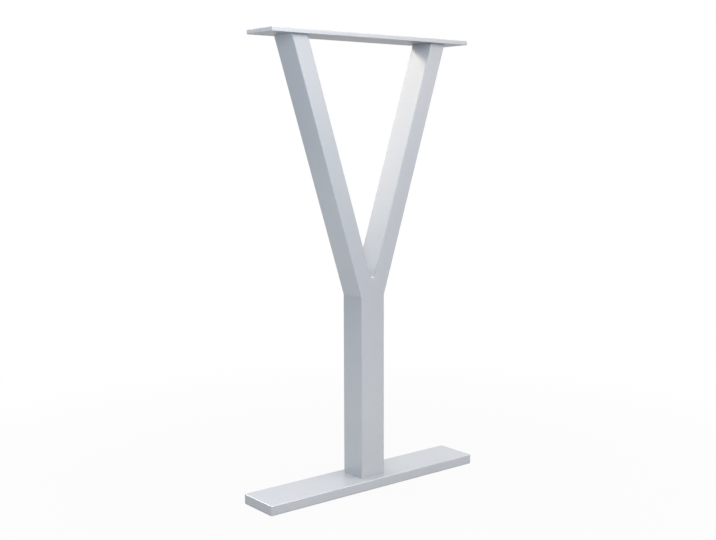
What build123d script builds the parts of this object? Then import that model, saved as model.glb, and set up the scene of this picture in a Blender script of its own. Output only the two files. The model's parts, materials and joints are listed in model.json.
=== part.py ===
from build123d import *
import math
import os

# Desk leg: a steel Y that carries one end of a desk top. A solid foot bar lies on the floor, a square
# post stands on it and forks into two arms, and the arms carry the plate that the desk top is screwed to.
# The pieces are welded and painted, and nothing moves.
# Frame: origin on the floor under the middle of the foot, +X along the foot, +Z up. Millimetres.

# Driving dimensions
LEG_HEIGHT = 710.0  # floor to the top of the plate
FORK_HEIGHT = 308.0  # floor to the bend in the outer faces, where the arms leave the post
ARM_SPREAD = 301.0  # across the arms' outer faces, where they meet the plate

FOOT_LENGTH = 412.0
FOOT_WIDTH = 73.0
FOOT_THICKNESS = 16.0
FOOT_CORNER_RADIUS = 3.0
FOOT_EDGE_RADIUS = 2.0

POST_WIDTH = 46.0
ARM_WIDTH = 27.5  # square to the arm's own length
TUBE_DEPTH = 46.0  # front to back, shared by post and arms so that their faces run flush
TUBE_WALL = 2.0
TUBE_OUTSIDE_RADIUS = 1.2
TUBE_INSIDE_RADIUS = 0.5

FORK_WELD_LEG = 12.0  # up each arm's inner face from the bottom of the V
FORK_WELD_FILL = 9.5  # bottom of the V to the lowest line of the weld's hollow face

PLATE_OVERHANG = 41.5  # past the arms' outer faces, at each end
PLATE_WIDTH = 67.0
PLATE_THICKNESS = 6.5
PLATE_CORNER_RADIUS = 3.0
PLATE_EDGE_RADIUS = 0.8

SCREW_HOLE_DIAMETER = 6.5
SCREW_END_DISTANCE = 20.0  # hole centre from the plate's end
SCREW_SIDE_DISTANCE = 13.0  # hole centre from the plate's long side

# Worked out from the driving dimensions
plate_underside = LEG_HEIGHT - PLATE_THICKNESS
plate_length = ARM_SPREAD + 2 * PLATE_OVERHANG
arm_rise = plate_underside - FORK_HEIGHT
arm_lean = math.atan2(ARM_SPREAD / 2 - POST_WIDTH / 2, arm_rise)
mitre_slope = arm_lean / 2
fork_bottom = FORK_HEIGHT + (ARM_WIDTH / math.cos(arm_lean) - POST_WIDTH / 2) / math.tan(arm_lean)

LEFT = -1
RIGHT = 1


def tube(section_plane, width, length):
    """Square-cut tube stock that runs from a plane along its normal, centred on the plane's origin."""
    outside = RectangleRounded(width, TUBE_DEPTH, TUBE_OUTSIDE_RADIUS)
    inside = RectangleRounded(width - 2 * TUBE_WALL, TUBE_DEPTH - 2 * TUBE_WALL, TUBE_INSIDE_RADIUS)
    return extrude(section_plane * (outside - inside), length)


def mitre_plane(side):
    """Saw cut between the post and one arm: it halves the bend, so that both tubes show the same section."""
    bend = (side * POST_WIDTH / 2, 0, FORK_HEIGHT)
    return Plane(origin=bend, z_dir=(side * math.sin(mitre_slope), 0, math.cos(mitre_slope)))


def make_foot():
    """Flat bar with rounded corners and every edge eased, lying on the floor."""
    bar = extrude(RectangleRounded(FOOT_LENGTH, FOOT_WIDTH, FOOT_CORNER_RADIUS), FOOT_THICKNESS)
    rims = bar.faces().filter_by(Axis.Z).edges()
    return fillet(rims, FOOT_EDGE_RADIUS)


def make_post():
    """Square tube, cut level where it stands on the foot and to a shallow peak under the arms."""
    peak = FORK_HEIGHT + POST_WIDTH / 2 * math.tan(mitre_slope)
    post = tube(Plane.XY.offset(FOOT_THICKNESS), POST_WIDTH, peak - FOOT_THICKNESS)
    for side in (LEFT, RIGHT):
        post = split(post, bisect_by=mitre_plane(side), keep=Keep.BOTTOM)
    return post


def make_arm(side):
    """Tube that leans out from the post's top corner, with three cuts: post, other arm and plate."""
    along = Vector(side * math.sin(arm_lean), 0, math.cos(arm_lean))
    inward = Vector(-side * math.cos(arm_lean), 0, math.sin(arm_lean))
    bend = Vector(side * POST_WIDTH / 2, 0, FORK_HEIGHT)
    saw_allowance = ARM_WIDTH
    start = bend + inward * (ARM_WIDTH / 2) - along * saw_allowance
    stock_length = arm_rise / math.cos(arm_lean) + 2 * saw_allowance
    arm = tube(Plane(origin=start, x_dir=inward, z_dir=along), ARM_WIDTH, stock_length)
    middle_plane = Plane(origin=(0, 0, 0), z_dir=(side, 0, 0))
    arm = split(arm, bisect_by=mitre_plane(side), keep=Keep.TOP)
    arm = split(arm, bisect_by=middle_plane, keep=Keep.TOP)
    return split(arm, bisect_by=Plane.XY.offset(plate_underside), keep=Keep.BOTTOM)


def make_fork_weld():
    """Weld that fills the bottom of the V between the arms, with a hollow upper face, dressed flush."""
    reach = FORK_WELD_LEG * math.sin(arm_lean)
    rise = FORK_WELD_LEG * math.cos(arm_lean)
    hollow = ThreePointArc((reach, rise), (0, FORK_WELD_FILL), (-reach, rise))
    sides = Polyline((-reach, rise), (0, 0), (reach, rise))
    section = make_face(hollow + sides)
    across = Plane(origin=(0, 0, fork_bottom), x_dir=(1, 0, 0), z_dir=(0, -1, 0))
    return extrude(across * section, TUBE_DEPTH / 2, both=True)


def make_top_plate():
    """Flat plate with softened edges and a pair of screw holes in each overhanging end."""
    seat = Plane.XY.offset(plate_underside)
    plate = extrude(seat * RectangleRounded(plate_length, PLATE_WIDTH, PLATE_CORNER_RADIUS), PLATE_THICKNESS)
    rims = plate.faces().filter_by(Axis.Z).edges()
    plate = fillet(rims, PLATE_EDGE_RADIUS)
    hole_spacing = (plate_length - 2 * SCREW_END_DISTANCE, PLATE_WIDTH - 2 * SCREW_SIDE_DISTANCE)
    holes = Sketch() + GridLocations(*hole_spacing, 2, 2) * Circle(SCREW_HOLE_DIAMETER / 2)
    return plate - extrude(seat * holes, PLATE_THICKNESS)


pieces = {
    "foot": make_foot(),
    "post": make_post(),
    "left_arm": make_arm(LEFT),
    "right_arm": make_arm(RIGHT),
    "fork_weld": make_fork_weld(),
    "top_plate": make_top_plate(),
}

os.makedirs("parts", exist_ok=True)
for name, piece in pieces.items():
    export_step(piece, f"parts/{name}.step")
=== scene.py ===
"""Looks of the desk leg: a welded steel Y in semi-gloss silver-grey powder coat, on white studio paper.

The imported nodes' boxes give the main sizes and every place. Each piece is modelled again with finely rounded
edges. All lengths here are in metres.
"""

import json
import logging
import math
from collections.abc import Callable, Iterator
from contextlib import contextmanager
from dataclasses import dataclass, field
from enum import Enum
from typing import Any

import bmesh
import bpy
from mathutils import Euler, Matrix, Vector


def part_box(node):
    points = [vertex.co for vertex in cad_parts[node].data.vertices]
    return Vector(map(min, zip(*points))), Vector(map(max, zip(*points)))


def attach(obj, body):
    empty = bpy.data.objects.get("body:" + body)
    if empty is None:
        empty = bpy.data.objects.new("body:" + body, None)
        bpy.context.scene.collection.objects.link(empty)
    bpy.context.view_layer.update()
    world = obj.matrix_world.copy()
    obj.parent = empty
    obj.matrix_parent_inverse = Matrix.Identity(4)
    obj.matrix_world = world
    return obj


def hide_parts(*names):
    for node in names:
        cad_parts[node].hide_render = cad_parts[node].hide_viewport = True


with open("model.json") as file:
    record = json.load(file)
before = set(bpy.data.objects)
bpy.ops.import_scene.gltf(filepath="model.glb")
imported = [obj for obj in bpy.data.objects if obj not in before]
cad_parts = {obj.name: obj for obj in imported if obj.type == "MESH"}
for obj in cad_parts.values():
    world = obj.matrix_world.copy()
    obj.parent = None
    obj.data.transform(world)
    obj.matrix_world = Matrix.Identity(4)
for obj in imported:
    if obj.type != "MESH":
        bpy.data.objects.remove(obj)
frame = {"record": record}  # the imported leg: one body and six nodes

LOG = logging.getLogger("desk_leg")
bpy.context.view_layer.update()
BODY = "root"
MM = 0.001
FLAT = 0.999  # a normal or direction counts as along an axis when its share of that axis is above this
SMOOTH_ANGLE = math.radians(40)
LARGE_FACE_WEIGHT = 100  # the most there is: large faces decide the shading at their edges
MIX_A, MIX_B, MIX_RESULT = 6, 7, 2  # a Mix node's colour sockets, whose names other types of value share
PHOTO_AZIMUTH = -38.757  # the photograph's viewing direction, in degrees from straight on to the front
MID_LEG = Vector((0, 0, 0.4))
UPPER_ARMS = Vector((0, 0, 0.65))


class Side(Enum):
    """Which arm of the fork: the sign of its X."""

    LEFT = -1
    RIGHT = 1


# Colours and nodes


def linear(hex_colour: str) -> tuple[float, float, float, float]:
    """Turns an sRGB hex colour into the linear colour that shaders take.

    Args:
        hex_colour: Six hex digits after a hash sign.

    Returns:
        Linear red, green, blue and an alpha of 1.
    """
    channels = [int(hex_colour[i : i + 2], 16) / 255 for i in (1, 3, 5)]
    bent = [c / 12.92 if c <= 0.04045 else ((c + 0.055) / 1.055) ** 2.4 for c in channels]
    return (bent[0], bent[1], bent[2], 1.0)


def add_node(
    tree: bpy.types.NodeTree,
    kind: str,
    settings: dict[str | int, Any] | None = None,
    links: dict[str | int, bpy.types.NodeSocket] | None = None,
) -> bpy.types.Node:
    """Adds one shader node with its settings and links.

    Args:
        tree: Node tree that the node goes into.
        kind: Blender's name for the node's type.
        settings: Values for sockets, by name or number, or for the node's own properties.
        links: Output sockets to link in, by the name or number of the input.

    Returns:
        The new node.
    """
    node = tree.nodes.new(kind)
    for key, value in (settings or {}).items():
        if isinstance(key, int) or key in node.inputs:
            node.inputs[key].default_value = value
        else:
            setattr(node, key, value)
    for key, source in (links or {}).items():
        tree.links.new(source, node.inputs[key])
    return node


def new_material(name: str) -> tuple[bpy.types.Material, bpy.types.NodeTree]:
    """Makes a material with an empty node tree and returns both."""
    material = bpy.data.materials.new(name)
    material.use_nodes = True
    material.node_tree.nodes.clear()
    return material, material.node_tree


def seen_share(tree: bpy.types.NodeTree, near: float, far: float, least: float = 0.0) -> bpy.types.NodeSocket:
    """Makes a factor for the rays that show a surface: camera, mirror and glass rays. Far off it grows to 1.

    Args:
        tree: Node tree of the surface's material.
        near: Distance from the leg up to which the factor is at its least.
        far: Distance from which the factor is 1.
        least: The factor close to the leg.

    Returns:
        The socket that holds the factor, which is 0 for all other rays.
    """
    path = add_node(tree, "ShaderNodeLightPath")
    polished = add_node(tree, "ShaderNodeMath", {"operation": "MAXIMUM"},
                        {0: path.outputs["Is Glossy Ray"], 1: path.outputs["Is Transmission Ray"]})
    seen = add_node(tree, "ShaderNodeMath", {"operation": "MAXIMUM"},
                    {0: path.outputs["Is Camera Ray"], 1: polished.outputs[0]})
    place = add_node(tree, "ShaderNodeTexCoord").outputs["Object"]
    distance = add_node(tree, "ShaderNodeVectorMath", {"operation": "LENGTH"}, {0: place})
    growth = add_node(tree, "ShaderNodeMapRange",
                      {"interpolation_type": "SMOOTHSTEP",
                       "From Min": near, "From Max": far, "To Min": least},
                      {"Value": distance.outputs["Value"]})
    return add_node(tree, "ShaderNodeMath", {"operation": "MULTIPLY"},
                    {0: seen.outputs[0], 1: growth.outputs["Result"]}).outputs[0]


@dataclass(frozen=True)
class PowderCoat:
    """Baked polyester powder coat on steel, silver-grey and semi-gloss.

    The eye gets an even cool grey with a soft mirror of what stands near, strongest along a face. The baked
    skin has a faint orange peel, fine flakes that lighten or darken a point, and a slow drift in tone.
    """

    name: str = "silver_grey_powder_coat"
    light_tone: str = "#c3c6ca"
    dark_tone: str = "#bdc1c6"
    flake_tone: str = "#cfd2d6"
    glance_tone: str = "#303030"  # flakes lie flat, so a face seen nearly edge-on looks darker
    drift_size: float = 90 * MM
    drift_octaves: float = 3.0
    flake_size: float = 1.6 * MM  # real flakes are near 0.05 mm; drawn coarse enough to show
    flake_share: float = 0.12
    peel_size: float = 1.8 * MM
    peel_octaves: float = 1.0
    peel_height: float = 0.012 * MM
    roughness: tuple[float, float] = (0.28, 0.34)
    metal_share: float = 0.35
    binder_ior: float = 1.5

    def build(self) -> bpy.types.Material:
        """Makes the material.

        Returns:
            The paint, for every piece that has this finish.
        """
        material, tree = new_material(self.name)
        place = add_node(tree, "ShaderNodeTexCoord").outputs["Object"]
        drift = add_node(tree, "ShaderNodeTexNoise",
                         {"Scale": 1 / self.drift_size, "Detail": self.drift_octaves}, {"Vector": place})
        ground = add_node(tree, "ShaderNodeMix",
                          {"data_type": "RGBA",
                           MIX_A: linear(self.light_tone), MIX_B: linear(self.dark_tone)},
                          {0: drift.outputs["Fac"]})
        flakes = add_node(tree, "ShaderNodeTexVoronoi", {"Scale": 1 / self.flake_size}, {"Vector": place})
        glint = add_node(tree, "ShaderNodeMath", {"operation": "MULTIPLY", 1: self.flake_share},
                         {0: flakes.outputs["Color"]})
        tone = add_node(tree, "ShaderNodeMix", {"data_type": "RGBA", MIX_B: linear(self.flake_tone)},
                        {0: glint.outputs[0], MIX_A: ground.outputs[MIX_RESULT]})
        peel = add_node(tree, "ShaderNodeTexNoise",
                        {"Scale": 1 / self.peel_size, "Detail": self.peel_octaves}, {"Vector": place})
        relief = add_node(tree, "ShaderNodeBump", {"Distance": self.peel_height},
                          {"Height": peel.outputs["Fac"]})
        sheen = add_node(tree, "ShaderNodeMapRange",
                         {"To Min": self.roughness[0], "To Max": self.roughness[1]},
                         {"Value": drift.outputs["Fac"]})
        shader = add_node(tree, "ShaderNodeBsdfPrincipled",
                          {"IOR": self.binder_ior, "Metallic": self.metal_share,
                           "Specular Tint": linear(self.glance_tone)},
                          {"Base Color": tone.outputs[MIX_RESULT], "Roughness": sheen.outputs["Result"],
                           "Normal": relief.outputs["Normal"]})
        add_node(tree, "ShaderNodeOutputMaterial", {}, {"Surface": shader.outputs["BSDF"]})
        return material

    def material(self) -> bpy.types.Material:
        """Gives the material, made when the first piece asks for it."""
        return bpy.data.materials.get(self.name) or self.build()


SMOOTH_COAT = PowderCoat()
# Weld metal is uneven, so the same coat gives the eye a duller, broader sheen there.
WELD_COAT = PowderCoat(name="silver_grey_coat_on_weld", roughness=(0.55, 0.62))


# Modelling by hand, in code


def deselect_all() -> None:
    """Leaves edit mode and deselects every object."""
    if bpy.context.object and bpy.context.object.mode != "OBJECT":
        bpy.ops.object.mode_set(mode="OBJECT")
    bpy.ops.object.select_all(action="DESELECT")


def take(piece: bpy.types.Object) -> None:
    """Selects one object alone and makes it the active one."""
    deselect_all()
    piece.select_set(True)
    bpy.context.view_layer.objects.active = piece


@contextmanager
def editing(piece: bpy.types.Object) -> Iterator[bpy.types.Mesh]:
    """Opens a piece in edit mode and closes it again.

    Args:
        piece: Mesh object to edit.

    Yields:
        The piece's mesh.
    """
    take(piece)
    bpy.ops.object.mode_set(mode="EDIT")
    yield piece.data
    bpy.ops.object.mode_set(mode="OBJECT")


def pick_edges(mesh: bpy.types.Mesh, wanted: Callable[[bmesh.types.BMEdge], bool]) -> None:
    """Selects the edges that pass a test, and nothing else."""
    bpy.ops.mesh.select_mode(type="EDGE")
    bpy.ops.mesh.select_all(action="DESELECT")
    work = bmesh.from_edit_mesh(mesh)
    for edge in work.edges:
        edge.select_set(wanted(edge))
    bmesh.update_edit_mesh(mesh)


def pick_faces(mesh: bpy.types.Mesh, wanted: Callable[[bmesh.types.BMFace], bool]) -> None:
    """Selects the faces that pass a test, and nothing else."""
    bpy.ops.mesh.select_mode(type="FACE")
    bpy.ops.mesh.select_all(action="DESELECT")
    work = bmesh.from_edit_mesh(mesh)
    work.normal_update()
    for face in work.faces:
        face.select_set(wanted(face))
    bmesh.update_edit_mesh(mesh)


def upright(edge: bmesh.types.BMEdge) -> bool:
    """True for an edge that runs along Z."""
    run = edge.verts[1].co - edge.verts[0].co
    return abs(run.z) > FLAT * run.length


def add_block(name: str, low: Vector, high: Vector) -> bpy.types.Object:
    """Adds a plain block between two corners, as the start of a piece.

    Args:
        name: Name of the new object.
        low: Lowest corner.
        high: Highest corner.

    Returns:
        The block, with its size and place in its mesh.
    """
    deselect_all()
    bpy.ops.mesh.primitive_cube_add(size=1, location=(low + high) / 2, scale=high - low)
    block = bpy.context.object
    block.name = block.data.name = name
    bpy.ops.object.transform_apply(location=True, rotation=True, scale=True)
    return block


def round_corners_and_rims(block: bpy.types.Object, corner: float, rim: float, segments: int) -> None:
    """Rounds a flat block's upright corners, then the rims of its level faces.

    Args:
        block: Block to round, lying flat.
        corner: Radius of the upright corners.
        rim: Radius of the edges round the upper and lower faces.
        segments: Flats in each rounding.
    """
    with editing(block) as mesh:
        pick_edges(mesh, upright)
        bpy.ops.mesh.bevel(offset=corner, segments=segments, affect="EDGES")
        pick_edges(mesh, lambda edge: any(abs(face.normal.z) > FLAT for face in edge.link_faces))
        bpy.ops.mesh.bevel(offset=rim, segments=segments, affect="EDGES")


def apply_modifier(piece: bpy.types.Object, kind: str, **settings: Any) -> None:
    """Adds a modifier to a piece, sets it up and applies it."""
    take(piece)
    modifier = piece.modifiers.new(kind.lower(), kind)
    for key, value in settings.items():
        setattr(modifier, key, value)
    bpy.ops.object.modifier_apply(modifier=modifier.name)


def smooth(piece: bpy.types.Object) -> None:
    """Shades the rounded edges smoothly and keeps the large faces flat."""
    take(piece)
    bpy.ops.object.shade_smooth_by_angle(angle=SMOOTH_ANGLE)
    apply_modifier(piece, "WEIGHTED_NORMAL", keep_sharp=True, weight=LARGE_FACE_WEIGHT)


# The leg


@dataclass(frozen=True)
class LegSizes:
    """Sizes that several pieces share. The last four are the part's own, which its boxes don't show."""

    post_width: float
    tube_depth: float
    fork_height: float
    plate_underside: float
    arm_reach: float
    arm_width: float = 27.5 * MM  # square to the arm's own length
    tube_wall: float = 2 * MM
    tube_radius: float = 1.2 * MM
    lining_radius: float = 0.5 * MM

    @classmethod
    def from_frame(cls) -> "LegSizes":
        """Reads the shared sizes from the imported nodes' boxes."""
        post_low, post_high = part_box("post")
        arm_low, arm_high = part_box("right_arm")
        return cls(
            post_width=post_high.x - post_low.x,
            tube_depth=post_high.y - post_low.y,
            fork_height=arm_low.z,
            plate_underside=arm_high.z,
            arm_reach=arm_high.x,
        )

    @property
    def lean(self) -> float:
        """Angle between an arm and upright, in radians."""
        return math.atan2(self.arm_reach - self.post_width / 2, self.plate_underside - self.fork_height)

    @property
    def fork_bottom(self) -> float:
        """Height at which the arms' inner faces meet."""
        inner_offset = self.arm_width / math.cos(self.lean) - self.post_width / 2
        return self.fork_height + inner_offset / math.tan(self.lean)


@dataclass
class LegPiece:
    """A visible piece of the leg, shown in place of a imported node."""

    name: str
    replaced: tuple[str, ...]
    finish: PowderCoat = SMOOTH_COAT

    def model(self) -> bpy.types.Object:
        """Builds the piece's mesh in its place."""
        raise NotImplementedError

    def place(self) -> bpy.types.Object:
        """Models, paints and hands over the piece.

        Returns:
            The finished object.
        """
        piece = self.model()
        smooth(piece)
        piece.data.materials.clear()
        piece.data.materials.append(self.finish.material())
        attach(piece, BODY)
        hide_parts(*self.replaced)
        LOG.info("%s: %d faces", piece.name, len(piece.data.polygons))
        return piece


@dataclass
class FootBar(LegPiece):
    """Solid flat bar on the floor, with rounded corners and all its edges eased."""

    name: str = "foot_bar"
    replaced: tuple[str, ...] = ("foot",)
    corner_radius: float = 3 * MM
    edge_radius: float = 2 * MM
    segments: int = 6

    def model(self) -> bpy.types.Object:
        """Builds the bar from a block: first its upright corners rounded, then its rims."""
        bar = add_block(self.name, *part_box("foot"))
        round_corners_and_rims(bar, self.corner_radius, self.edge_radius, self.segments)
        return bar


@dataclass
class SawCut:
    """A flat cut through tube stock: what lies on the side that the normal points to falls away."""

    point: Vector
    normal: Vector


@dataclass
class Tube(LegPiece):
    """Hollow rectangular tube with rounded corners, sawn to length."""

    sizes: LegSizes = field(default_factory=LegSizes.from_frame)
    segments: int = 8

    def stock(self) -> tuple[float, float, Matrix]:
        """Gives the stock's width and length and its place, with its middle at the origin and Z along it."""
        raise NotImplementedError

    def cuts(self) -> list[SawCut]:
        """Gives the cuts that bring the stock to its final shape."""
        raise NotImplementedError

    def skin(self, inset: float, radius: float) -> bpy.types.Object:
        """Builds one skin of the stock, upright round the origin and open at both ends.

        Args:
            inset: Distance in from the tube's outer face: nothing for the outer skin, a wall for the lining.
            radius: Radius of the skin's four corners.

        Returns:
            The skin, not yet sawn.
        """
        width, length, _ = self.stock()
        half = Vector((width / 2 - inset, self.sizes.tube_depth / 2 - inset, length / 2))
        skin = add_block(self.name, -half, half)
        with editing(skin) as mesh:
            pick_faces(mesh, lambda face: abs(face.normal.z) > FLAT)
            bpy.ops.mesh.delete(type="FACE")
            pick_edges(mesh, upright)
            bpy.ops.mesh.bevel(offset=radius, segments=self.segments, affect="EDGES")
        return skin

    def model(self) -> bpy.types.Object:
        """Builds both skins, closes the wall between them at each end, and saws the stock in its place."""
        tube = self.skin(0.0, self.sizes.tube_radius)
        lining = self.skin(self.sizes.tube_wall, self.sizes.lining_radius)
        take(tube)
        lining.select_set(True)
        bpy.ops.object.join()
        with editing(tube) as mesh:
            for end in (-1, 1):
                pick_edges(mesh, lambda edge, end=end: edge.is_boundary and edge.verts[0].co.z * end > 0)
                bpy.ops.mesh.fill()
        _, _, placed = self.stock()
        tube.matrix_world = placed
        bpy.ops.object.transform_apply(location=True, rotation=True, scale=True)
        with editing(tube):
            for cut in self.cuts():
                bpy.ops.mesh.select_all(action="SELECT")
                bpy.ops.mesh.bisect(plane_co=cut.point, plane_no=cut.normal, use_fill=True, clear_outer=True)
            bpy.ops.mesh.select_all(action="SELECT")
            bpy.ops.mesh.normals_make_consistent(inside=False)
        return tube


def mitre(sizes: LegSizes, side: Side) -> SawCut:
    """The cut between post and arm, at half the arm's lean, seen from the post."""
    half_lean = sizes.lean / 2
    bend = Vector((side.value * sizes.post_width / 2, 0, sizes.fork_height))
    return SawCut(bend, Vector((side.value * math.sin(half_lean), 0, math.cos(half_lean))))


@dataclass
class Post(Tube):
    """Square tube that stands on the foot, with a shallow peak on top."""

    name: str = "post_tube"
    replaced: tuple[str, ...] = ("post",)

    def stock(self) -> tuple[float, float, Matrix]:
        """Upright stock from the foot to the peak."""
        low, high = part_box("post")
        return self.sizes.post_width, high.z - low.z, Matrix.Translation((low + high) / 2)

    def cuts(self) -> list[SawCut]:
        """One slope of the peak for each arm."""
        return [mitre(self.sizes, side) for side in Side]


@dataclass
class Arm(Tube):
    """Rectangular tube that leans out from the post to the plate."""

    side: Side = Side.LEFT

    def stock(self) -> tuple[float, float, Matrix]:
        """Leaning stock, longer than the arm by its own width at each end."""
        sizes, sign = self.sizes, self.side.value
        along = Vector((sign * math.sin(sizes.lean), 0, math.cos(sizes.lean)))
        inward = Vector((-sign * math.cos(sizes.lean), 0, math.sin(sizes.lean)))
        bend = Vector((sign * sizes.post_width / 2, 0, sizes.fork_height))
        run = (sizes.plate_underside - sizes.fork_height) / math.cos(sizes.lean)
        middle = bend + inward * (sizes.arm_width / 2) + along * (run / 2)
        turned = Euler((0, sign * sizes.lean, 0)).to_matrix().to_4x4()
        return sizes.arm_width, run + 2 * sizes.arm_width, Matrix.Translation(middle) @ turned

    def cuts(self) -> list[SawCut]:
        """Cuts at the post, at the other arm and at the plate."""
        from_post = mitre(self.sizes, self.side)
        return [
            SawCut(from_post.point, -from_post.normal),
            SawCut(Vector(), Vector((-self.side.value, 0, 0))),
            SawCut(Vector((0, 0, self.sizes.plate_underside)), Vector((0, 0, 1))),
        ]


@dataclass
class TopPlate(LegPiece):
    """Flat plate that the desk top is screwed to."""

    name: str = "desk_plate"
    replaced: tuple[str, ...] = ("top_plate",)
    corner_radius: float = 3 * MM
    edge_radius: float = 0.8 * MM
    segments: int = 5
    hole_sides: int = 48
    hole_edge: float = 0.4 * MM
    hole_edge_segments: int = 2
    rim_slack: float = 0.01  # share of a hole's radius within which an edge counts as its mouth

    def hole_centres(self) -> tuple[list[Vector], float]:
        """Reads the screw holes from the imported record.

        Returns:
            The holes' centres at the plate's top face, and their radius.
        """
        mounts = {mount["name"]: mount for mount in frame["record"]["mounts"]}
        screws = mounts["desk_top_screws"]
        middle, dims = Vector(screws["pos_m"]), screws["dims"]
        reach = Vector((dims["spacing_x_mm"], dims["spacing_y_mm"], 0)) * MM / 2
        centres = [middle + Vector((x * reach.x, y * reach.y, 0)) for x in (-1, 1) for y in (-1, 1)]
        return centres, dims["hole_r_mm"] * MM

    def drill(self, plate: bpy.types.Object, low: Vector, high: Vector) -> None:
        """Cuts the screw holes and breaks their edges.

        Args:
            plate: The undrilled plate.
            low: Lowest corner of the plate.
            high: Highest corner of the plate.
        """
        centres, radius = self.hole_centres()
        depth = high.z - low.z
        slack = self.rim_slack * radius
        for centre in centres:
            deselect_all()
            bpy.ops.mesh.primitive_cylinder_add(vertices=self.hole_sides, radius=radius, depth=2 * depth,
                                                location=centre - Vector((0, 0, depth / 2)))
            bit = bpy.context.object
            apply_modifier(plate, "BOOLEAN", object=bit, operation="DIFFERENCE", solver="EXACT")
            bpy.data.objects.remove(bit)

        def on_rim(edge: bmesh.types.BMEdge) -> bool:
            """True for an edge of a hole's mouth."""
            ends = [vert.co for vert in edge.verts]
            level = any(all(abs(end.z - z) < slack for end in ends) for z in (low.z, high.z))
            return level and any(all(abs((end - centre).xy.length - radius) < slack for end in ends)
                                 for centre in centres)

        with editing(plate) as mesh:
            pick_edges(mesh, on_rim)
            bpy.ops.mesh.bevel(offset=self.hole_edge, segments=self.hole_edge_segments, affect="EDGES")

    def model(self) -> bpy.types.Object:
        """Builds the plate from a block with rounded corners, softened rims and four holes."""
        low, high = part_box("top_plate")
        plate = add_block(self.name, low, high)
        round_corners_and_rims(plate, self.corner_radius, self.edge_radius, self.segments)
        self.drill(plate, low, high)
        return plate


@dataclass
class ForkWeld(LegPiece):
    """Weld that fills the bottom of the V between the arms, with a hollow upper face."""

    name: str = "fork_weld_fill"
    replaced: tuple[str, ...] = ("fork_weld",)
    finish: PowderCoat = WELD_COAT
    sizes: LegSizes = field(default_factory=LegSizes.from_frame)
    fill: float = 9.5 * MM  # bottom of the V to the lowest line of the hollow
    below_flush: float = 0.05 * MM  # its ends stop this far short of the arms' front and back faces
    strips: int = 10

    def model(self) -> bpy.types.Object:
        """Builds the weld from a block: narrowed to the V, then its top pressed down to the hollow."""
        sizes, (low, high) = self.sizes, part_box("fork_weld")
        half, rise = high.x, high.z - low.z
        # The weld reaches this far into the arms, so that no gap shows beside their rounded edges.
        bite = sizes.tube_radius / math.cos(sizes.lean)
        bottom = sizes.fork_bottom - bite / math.tan(sizes.lean)
        flush = Vector((half + bite, high.y - self.below_flush, 0))
        weld = add_block(self.name, Vector((0, 0, bottom)) - flush, Vector((0, 0, high.z)) + flush)
        with editing(weld) as mesh:
            pick_faces(mesh, lambda face: face.normal.z < -FLAT)
            bpy.ops.transform.resize(value=(0, 1, 1))
            bpy.ops.mesh.select_all(action="SELECT")
            bpy.ops.mesh.remove_doubles()
            lines = [half * (2 * i / self.strips - 1) for i in range(self.strips + 1)]
            for x in lines:
                bpy.ops.mesh.select_all(action="SELECT")
                bpy.ops.mesh.bisect(plane_co=(x, 0, 0), plane_no=(1, 0, 0))
            dip = rise - self.fill
            bend = (half**2 + dip**2) / (2 * dip)  # radius of the hollow
            beside = half / self.strips / 4  # no other line comes this close
            upper = high.z - rise / 4  # only the top of the weld lies above this
            for x in lines[1:-1]:
                pick_edges(mesh, lambda edge, x=x: all(
                    abs(vert.co.x - x) < beside and vert.co.z > upper for vert in edge.verts))
                sink = math.sqrt(bend**2 - x**2) - (bend - dip)
                bpy.ops.transform.translate(value=(0, 0, -sink))
        return weld


# Stage


@dataclass(frozen=True)
class Softbox:
    """A square studio lamp, aimed at a point on the leg."""

    name: str
    place: Vector
    aim: Vector
    size: float
    watts: float
    colour: str = "#ffffff"
    mirrored: bool = True  # whether the paint shows the lamp's own shape

    def hang(self) -> bpy.types.Object:
        """Makes the lamp and points it.

        Returns:
            The lamp's object.
        """
        data = bpy.data.lights.new(self.name, "AREA")
        data.shape = "SQUARE"
        data.size = self.size
        data.energy = self.watts
        data.color = linear(self.colour)[:3]
        lamp = bpy.data.objects.new(self.name, data)
        lamp.location = self.place
        lamp.rotation_euler = (self.aim - self.place).to_track_quat("-Z", "Y").to_euler()
        lamp.visible_camera = False
        lamp.visible_glossy = self.mirrored
        bpy.context.scene.collection.objects.link(lamp)
        return lamp


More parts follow.
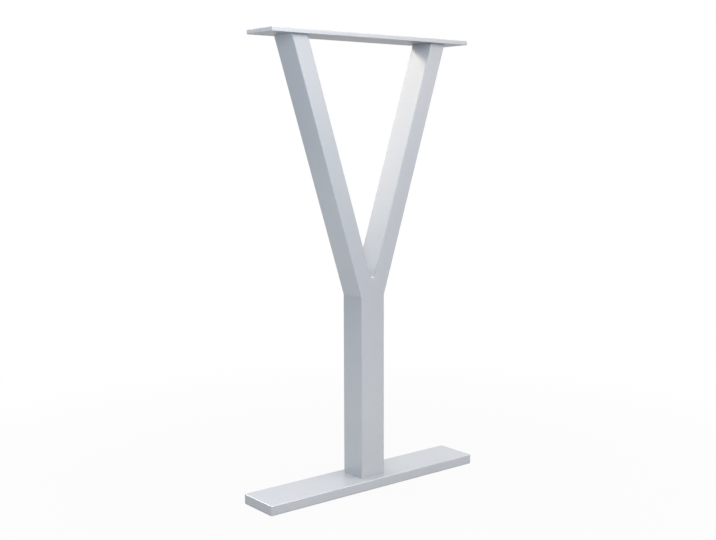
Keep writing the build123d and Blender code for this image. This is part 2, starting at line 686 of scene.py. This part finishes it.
@dataclass(frozen=True)
class PaperSweep:
    """White paper under the leg that curves up behind it, square to the photograph's view."""

    width: float = 2.4
    front: float = -0.8
    back: float = 1.6
    height: float = 2.0
    curve: float = 0.4
    curve_segments: int = 16
    turn: float = PHOTO_AZIMUTH
    colour: str = "#959595"
    near_glow: float = 0.94  # share of plain white close to the leg; the rest takes the leg's shadow
    near_reach: float = 0.35
    far_reach: float = 1.1  # plain white from here on

    def paper(self) -> bpy.types.Material:
        """Makes the paper: plain white to the eye and in mirrors, card to other light, and clear from behind.

        Returns:
            The paper's material.
        """
        material, tree = new_material("white_seamless_paper")
        card = add_node(tree, "ShaderNodeBsdfDiffuse", {"Color": linear(self.colour)})
        glow = add_node(tree, "ShaderNodeEmission", {"Strength": 1.0})
        share = seen_share(tree, self.near_reach, self.far_reach, self.near_glow)
        mixed = add_node(tree, "ShaderNodeMixShader", {}, {0: share, 1: card.outputs[0], 2: glow.outputs[0]})
        behind = add_node(tree, "ShaderNodeNewGeometry").outputs["Backfacing"]
        clear = add_node(tree, "ShaderNodeBsdfTransparent")
        sided = add_node(tree, "ShaderNodeMixShader", {},
                         {0: behind, 1: mixed.outputs[0], 2: clear.outputs[0]})
        add_node(tree, "ShaderNodeOutputMaterial", {}, {"Surface": sided.outputs[0]})
        return material

    def hang(self) -> bpy.types.Object:
        """Builds the sheet: laid flat, its back edge drawn up, and the fold curved.

        Returns:
            The sheet's object.
        """
        deselect_all()
        bpy.ops.mesh.primitive_plane_add(size=1, location=(0, (self.front + self.back) / 2, 0))
        sheet = bpy.context.object
        sheet.name = sheet.data.name = "paper_sweep"
        sheet.scale = (self.width, self.back - self.front, 1)
        bpy.ops.object.transform_apply(location=True, rotation=True, scale=True)

        def at_back(edge: bmesh.types.BMEdge) -> bool:
            """True for the line where the sheet turns up."""
            return all(abs(vert.co.y - self.back) < MM and abs(vert.co.z) < MM for vert in edge.verts)

        with editing(sheet) as mesh:
            pick_edges(mesh, at_back)
            bpy.ops.mesh.extrude_region_move(TRANSFORM_OT_translate={"value": (0, 0, self.height)})
            pick_edges(mesh, at_back)
            bpy.ops.mesh.bevel(offset=self.curve, segments=self.curve_segments, affect="EDGES")
        sheet.rotation_euler.z = math.radians(self.turn)
        bpy.ops.object.transform_apply(location=True, rotation=True, scale=True)
        bpy.ops.object.shade_smooth_by_angle(angle=SMOOTH_ANGLE)
        sheet.data.materials.append(self.paper())
        return sheet


@dataclass(frozen=True)
class Studio:
    """Grey studio floor with a white paper sweep on it, dim air and a few soft lamps."""

    floor_size: float = 60.0
    floor_drop: float = 2 * MM  # the studio floor lies this far below the paper
    floor_colour: str = "#b0b0b0"
    floor_fade: tuple[float, float] = (0.8, 3.0)  # between these distances it turns into the air's grey
    air_colour: str = "#e8f1ff"
    air_strength: float = 0.43
    lamps: tuple[Softbox, ...] = (
        Softbox("overhead", Vector((0, -0.15, 4.6)), MID_LEG, 3.0, 196.0, "#fdfdff"),
        Softbox("key_front_right", Vector((1.02, -1.77, 1.83)), MID_LEG, 1.6, 24.5, "#fff1e0"),
        Softbox("key_back_left", Vector((-0.57, 2.13, 1.57)), MID_LEG, 1.4, 30.2, "#fff2e1"),
        Softbox("near_front_left", Vector((-0.56, -0.56, 0.79)), UPPER_ARMS, 0.35, 4.5, "#e3f1ff",
                mirrored=False),
        Softbox("near_front", Vector((0, -0.75, 0.92)), UPPER_ARMS, 0.35, 2.2, "#fff4ea",
                mirrored=False),
    )

    def concrete(self) -> bpy.types.Material:
        """Makes the floor: pale grey, and far off the grey of the air, so that no horizon shows.

        Returns:
            The floor's material.
        """
        material, tree = new_material("grey_studio_floor")
        ground = add_node(tree, "ShaderNodeBsdfDiffuse", {"Color": linear(self.floor_colour)})
        haze = add_node(tree, "ShaderNodeEmission",
                        {"Color": linear(self.air_colour), "Strength": self.air_strength})
        share = seen_share(tree, *self.floor_fade)
        mixed = add_node(tree, "ShaderNodeMixShader", {},
                         {0: share, 1: ground.outputs[0], 2: haze.outputs[0]})
        add_node(tree, "ShaderNodeOutputMaterial", {}, {"Surface": mixed.outputs[0]})
        return material

    def lay_floor(self) -> bpy.types.Object:
        """Lays the studio floor under the paper."""
        deselect_all()
        bpy.ops.mesh.primitive_plane_add(size=self.floor_size, location=(0, 0, -self.floor_drop))
        floor = bpy.context.object
        floor.name = floor.data.name = "studio_floor"
        bpy.ops.object.transform_apply(location=True, rotation=True, scale=True)
        floor.data.materials.append(self.concrete())
        return floor

    def fill_air(self) -> bpy.types.World:
        """Sets the air: dim and a little cool all round."""
        world = bpy.data.worlds.new("studio_air")
        world.use_nodes = True
        tree = world.node_tree
        tree.nodes.clear()
        light = add_node(tree, "ShaderNodeBackground",
                         {"Color": linear(self.air_colour), "Strength": self.air_strength})
        add_node(tree, "ShaderNodeOutputWorld", {}, {"Surface": light.outputs[0]})
        bpy.context.scene.world = world
        return world

    def set_up(self) -> None:
        """Lays the floor, hangs the paper and the lamps, and fills the air."""
        self.lay_floor()
        PaperSweep().hang()
        self.fill_air()
        for lamp in self.lamps:
            lamp.hang()
        bpy.context.scene.view_settings.view_transform = "Standard"


@dataclass(frozen=True)
class PhotoCamera:
    """Camera at the photograph's place, for a frame of 716 by 540 pixels."""

    place: Vector = Vector((-1.0513, -1.29536, 0.55196))
    azimuth: float = PHOTO_AZIMUTH
    elevation: float = 7.011
    roll: float = -0.164
    lens_mm: float = 53.473
    sensor_mm: float = 36.0

    def set_up(self) -> bpy.types.Object:
        """Makes the camera and hands it to the scene.

        Returns:
            The camera's object.
        """
        data = bpy.data.cameras.new("photo_camera")
        data.lens = self.lens_mm
        data.sensor_width = self.sensor_mm
        camera = bpy.data.objects.new("photo_camera", data)
        tilt = Matrix.Rotation(math.radians(90 - self.elevation), 4, "X")
        turn = Matrix.Rotation(math.radians(self.azimuth), 4, "Z")
        roll = Matrix.Rotation(math.radians(self.roll), 4, "Z")
        camera.matrix_world = Matrix.Translation(self.place) @ turn @ tilt @ roll
        bpy.context.scene.collection.objects.link(camera)
        bpy.context.scene.camera = camera
        return camera


def leg_pieces() -> list[LegPiece]:
    """Lists the leg's pieces from the floor up.

    Returns:
        The pieces, ready to be placed.
    """
    arms = [Arm(f"arm_tube_{side.name.lower()}", (f"{side.name.lower()}_arm",), side=side) for side in Side]
    return [FootBar(), Post(), *arms, ForkWeld(), TopPlate()]


def main() -> None:
    """Builds the leg, the stage and the camera, in that order."""
    logging.basicConfig(level=logging.INFO, format="%(message)s")
    for piece in leg_pieces():
        piece.place()
    Studio().set_up()
    PhotoCamera().set_up()
    deselect_all()


if __name__ == "__main__":
    main()
